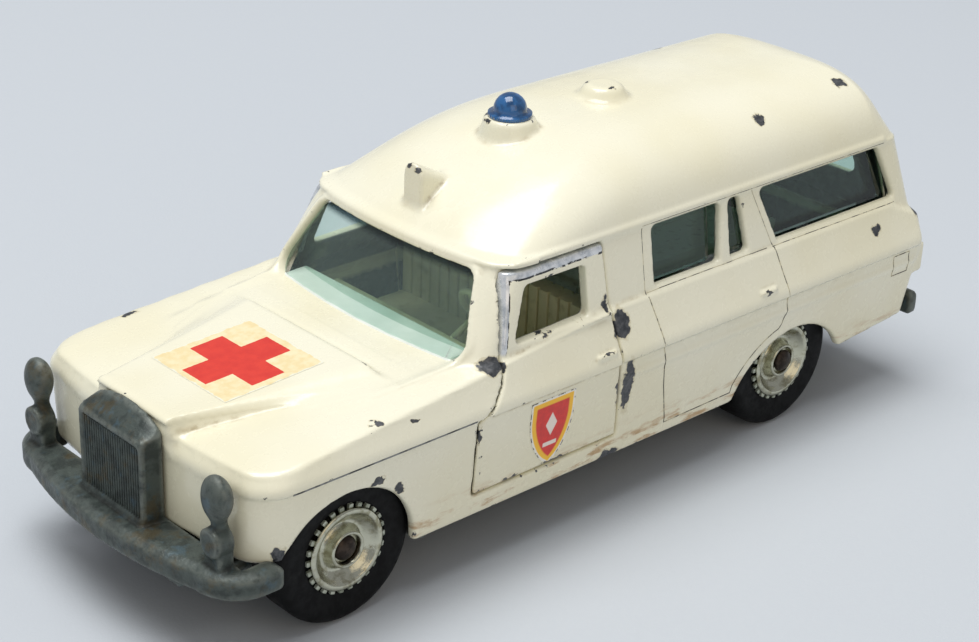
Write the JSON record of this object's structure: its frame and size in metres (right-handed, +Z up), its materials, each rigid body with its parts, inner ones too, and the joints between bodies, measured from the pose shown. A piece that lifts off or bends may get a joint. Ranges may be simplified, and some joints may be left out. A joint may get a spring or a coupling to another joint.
{
  "type": "toy ambulance",
  "caption": "Die-cast toy ambulance with a high roof, opening front doors and tailgate, rolling wheels, stretcher and roof beacon.",
  "frame": {"origin": "on the ground under the middle of the car's length and width", "axes": "+X towards the nose, +Y towards the car's left side, +Z up"},
  "size_m": [0.1048, 0.038, 0.0421],
  "materials": {
    "ivory_enamel": "glossy ivory enamel with chips",
    "bare_zinc": "dull tarnished zinc casting",
    "steel_wire": "plain wire",
    "dull_steel": "dull spun steel",
    "tinted_glazing": "clear plastic with a blue-green tint",
    "cream_plastic": "moulded cream plastic",
    "white_plastic": "moulded white plastic",
    "blue_plastic": "worn blue plastic",
    "plated_hub": "worn bright plating",
    "black_tyre": "black rubber"
  },
  "bodies": {
    "car": {"body_shell": "ivory_enamel", "base_casting": "bare_zinc", "left_hinge_pin": "steel_wire", "right_hinge_pin": "steel_wire", "window_glazing": "tinted_glazing", "interior_tub": "cream_plastic", "steering_wheel": "cream_plastic", "stretcher": "white_plastic", "roof_beacon": "blue_plastic", "front_axle": "dull_steel", "rear_axle": "dull_steel", "base_rivets": "dull_steel"},
    "left_door": {"left_front_door": "ivory_enamel"},
    "right_door": {"right_front_door": "ivory_enamel"},
    "rear_gate": {"tailgate": "ivory_enamel", "tailgate_pin": "steel_wire"},
    "front_left_wheel": {"front_left_hub": "plated_hub", "front_left_tyre": "black_tyre"},
    "front_right_wheel": {"front_right_hub": "plated_hub", "front_right_tyre": "black_tyre"},
    "rear_left_wheel": {"rear_left_hub": "plated_hub", "rear_left_tyre": "black_tyre"},
    "rear_right_wheel": {"rear_right_hub": "plated_hub", "rear_right_tyre": "black_tyre"}
  },
  "joints": [
    {"name": "left_door_hinge", "type": "hinge", "parent": "car", "child": "left_door", "pos_m": [0.0231, 0.0156, 0.0137], "axis": [0, 0, -1], "range_deg": [0, 60]},
    {"name": "right_door_hinge", "type": "hinge", "parent": "car", "child": "right_door", "pos_m": [0.0231, -0.0156, 0.0137], "axis": [0, 0, 1], "range_deg": [0, 60]},
    {"name": "tailgate_hinge", "type": "hinge", "parent": "car", "child": "rear_gate", "pos_m": [-0.04829, 0, 0.0322], "axis": [0, 1, 0], "range_deg": [0, 75]},
    {"name": "front_left_wheel_spin", "type": "hinge", "parent": "car", "child": "front_left_wheel", "pos_m": [0.0345, 0.014, 0.0081], "axis": [0, 1, 0], "continuous": true},
    {"name": "front_right_wheel_spin", "type": "hinge", "parent": "car", "child": "front_right_wheel", "pos_m": [0.0345, -0.014, 0.0081], "axis": [0, 1, 0], "continuous": true},
    {"name": "rear_left_wheel_spin", "type": "hinge", "parent": "car", "child": "rear_left_wheel", "pos_m": [-0.0299, 0.0136, 0.0081], "axis": [0, 1, 0], "continuous": true},
    {"name": "rear_right_wheel_spin", "type": "hinge", "parent": "car", "child": "rear_right_wheel", "pos_m": [-0.0299, -0.0136, 0.0081], "axis": [0, 1, 0], "continuous": true}
  ]
}
